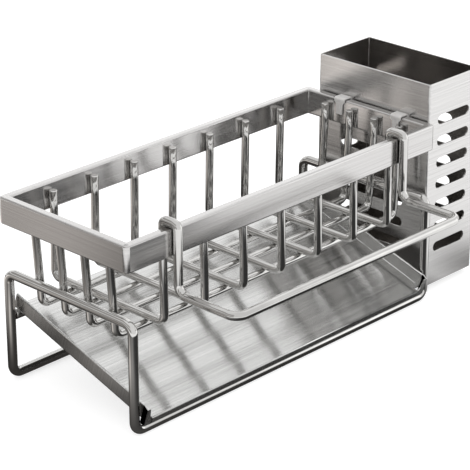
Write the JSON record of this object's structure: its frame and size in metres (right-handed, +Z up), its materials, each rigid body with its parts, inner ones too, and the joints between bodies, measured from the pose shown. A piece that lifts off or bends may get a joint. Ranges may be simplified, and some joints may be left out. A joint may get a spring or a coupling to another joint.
{
  "type": "kitchen sink organizer",
  "caption": "Stainless wire basket on a wire stand with a sloping slide-out drip tray, a hook-on towel rail and a hook-on slotted utensil holder.",
  "frame": {"origin": "middle of the base of the whole object's bounding box, on the surface it stands on", "axes": "+X along the long side towards the utensil holder, -Y towards the towel rail, +Z up"},
  "size_m": [0.3218, 0.1618, 0.144],
  "materials": {
    "brushed_tube": "brushed along the length",
    "polished_wire": "polished",
    "brushed_sheet": "fine brushed"
  },
  "bodies": {
    "rack": {"rim_front": "brushed_tube", "rim_right": "brushed_tube", "rim_back": "brushed_tube", "rim_left": "brushed_tube", "cross_wire_1": "polished_wire", "cross_wire_2": "polished_wire", "cross_wire_3": "polished_wire", "cross_wire_4": "polished_wire", "cross_wire_5": "polished_wire", "cross_wire_6": "polished_wire", "cross_wire_7": "polished_wire", "long_wire_1": "polished_wire", "long_wire_2": "polished_wire", "long_wire_3": "polished_wire", "long_wire_4": "polished_wire", "stand_loop": "polished_wire", "back_crossbar": "polished_wire"},
    "tray": {"drip_tray": "brushed_sheet", "tray_wall_left": "brushed_sheet", "tray_wall_right": "brushed_sheet"},
    "rail": {"towel_rail": "polished_wire"},
    "holder": {"holder_body": "brushed_sheet", "holder_base": "brushed_sheet", "holder_strap_front": "brushed_sheet", "holder_strap_back": "brushed_sheet"}
  },
  "joints": [
    {"name": "tray_slide", "type": "slide", "parent": "rack", "child": "tray", "axis": [0, -1, 0], "range_m": [0, 0.12]},
    {"name": "towel_rail_lift", "type": "slide", "parent": "rack", "child": "rail", "axis": [0, 0, 1], "range_m": [0, 0.03]},
    {"name": "holder_lift", "type": "slide", "parent": "rack", "child": "holder", "axis": [0, 0, 1], "range_m": [0, 0.03]}
  ]
}
